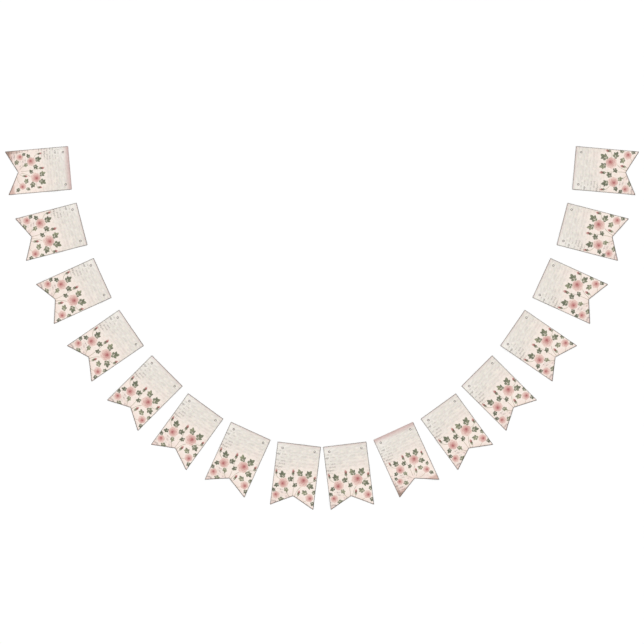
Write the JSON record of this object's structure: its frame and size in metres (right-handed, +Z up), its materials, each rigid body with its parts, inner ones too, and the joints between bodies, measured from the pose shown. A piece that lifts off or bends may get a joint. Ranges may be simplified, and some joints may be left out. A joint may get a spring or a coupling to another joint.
{
  "type": "fabric bunting",
  "caption": "Garland of printed cotton swallowtail flags with punched cord holes, laid flat in a U as a party or wall decoration.",
  "frame": {"origin": "middle of the layout's outline, on the surface that the flags lie on", "axes": "+Z up, out of the printed face; +X to the right along the layout's longest side; +Y towards the open side of the U"},
  "size_m": [1.8456, 1.0586, 0.001],
  "materials": {
    "printed_cotton": "matte",
    "edge_thread": "matte"
  },
  "bodies": {
    "root": {"flag_01": "printed_cotton", "flag_02": "printed_cotton", "flag_03": "printed_cotton", "flag_04": "printed_cotton", "flag_05": "printed_cotton", "flag_06": "printed_cotton", "flag_07": "printed_cotton", "flag_08": "printed_cotton", "flag_09": "printed_cotton", "flag_10": "printed_cotton", "flag_11": "printed_cotton", "flag_12": "printed_cotton", "flag_13": "printed_cotton", "flag_14": "printed_cotton", "flag_15": "printed_cotton", "flag_16": "printed_cotton"}
  },
  "joints": []
}
